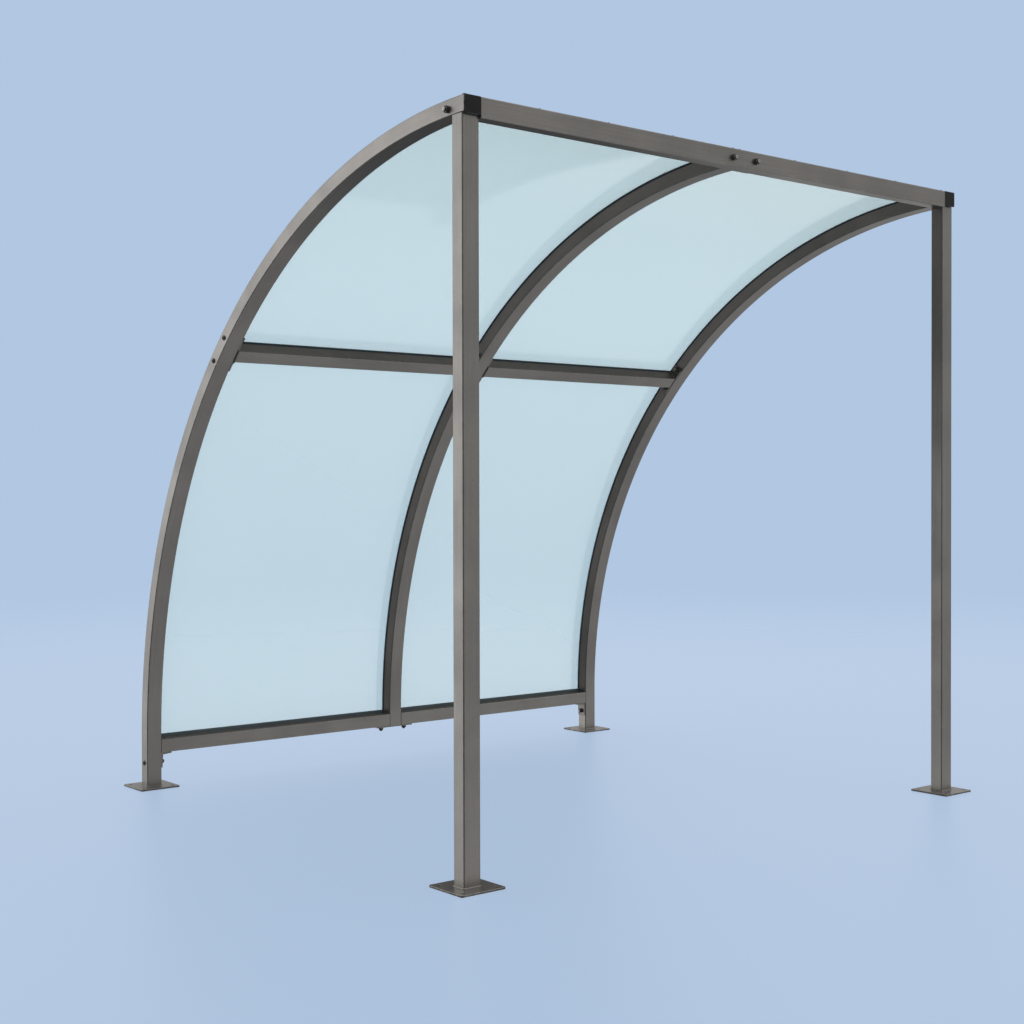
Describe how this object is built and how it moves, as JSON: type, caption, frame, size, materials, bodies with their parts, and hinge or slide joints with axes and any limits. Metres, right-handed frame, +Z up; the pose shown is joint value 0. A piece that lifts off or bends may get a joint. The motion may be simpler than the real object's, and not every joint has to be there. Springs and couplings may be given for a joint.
{
  "type": "bike shelter",
  "caption": "Open-fronted curved bike shelter: steel tube posts and quarter-round ribs on base plates, tied by a beam, purlins and rails, with bent clear sheets for roof and back.",
  "frame": {"origin": "on the ground, under the centre of the whole shelter's box", "axes": "+Z up, +X right along the front beam, +Y from the open front to the curved back"},
  "size_m": [2.32, 2.076, 2.1728],
  "materials": {
    "frame_tube": "warm grey satin metallic coat",
    "base_plate_steel": "warm grey satin metallic coat on flat plate",
    "fixing_steel": "darker satin coat on small plates and angles",
    "end_cap": "black moulded plastic, fine grain",
    "rubber_strip": "black glazing rubber",
    "clear_sheet": "pale blue-green tinted clear polycarbonate, glossy",
    "bolt_steel": "blackened bolt heads and nuts",
    "bolt_end": "bright cut thread ends"
  },
  "bodies": {
    "root": {"base_plate_front_left": "base_plate_steel", "base_plate_front_right": "base_plate_steel", "base_plate_rear_left": "base_plate_steel", "base_plate_rear_right": "base_plate_steel", "front_post_left": "frame_tube", "front_post_right": "frame_tube", "rib_left": "frame_tube", "rib_middle": "frame_tube", "rib_right": "frame_tube", "front_beam": "frame_tube", "rib_cap_left": "end_cap", "rib_cap_right": "end_cap", "beam_bracket_left": "fixing_steel", "beam_bracket_right": "fixing_steel", "rib_head_plate": "fixing_steel", "purlin_left": "frame_tube", "purlin_right": "frame_tube", "purlin_plate_left_outer": "fixing_steel", "purlin_plate_left_inner": "fixing_steel", "purlin_plate_right_inner": "fixing_steel", "purlin_plate_right_outer": "fixing_steel", "bottom_rail_left": "frame_tube", "bottom_rail_right": "frame_tube", "rail_bracket_left": "fixing_steel", "rail_bracket_right": "fixing_steel", "rib_foot_strap": "fixing_steel", "strips_upper_left": "rubber_strip", "strips_upper_right": "rubber_strip", "strips_lower_left": "rubber_strip", "strips_lower_right": "rubber_strip", "sheet_upper_left": "clear_sheet", "sheet_upper_right": "clear_sheet", "sheet_lower_left": "clear_sheet", "sheet_lower_right": "clear_sheet"}
  },
  "joints": []
}
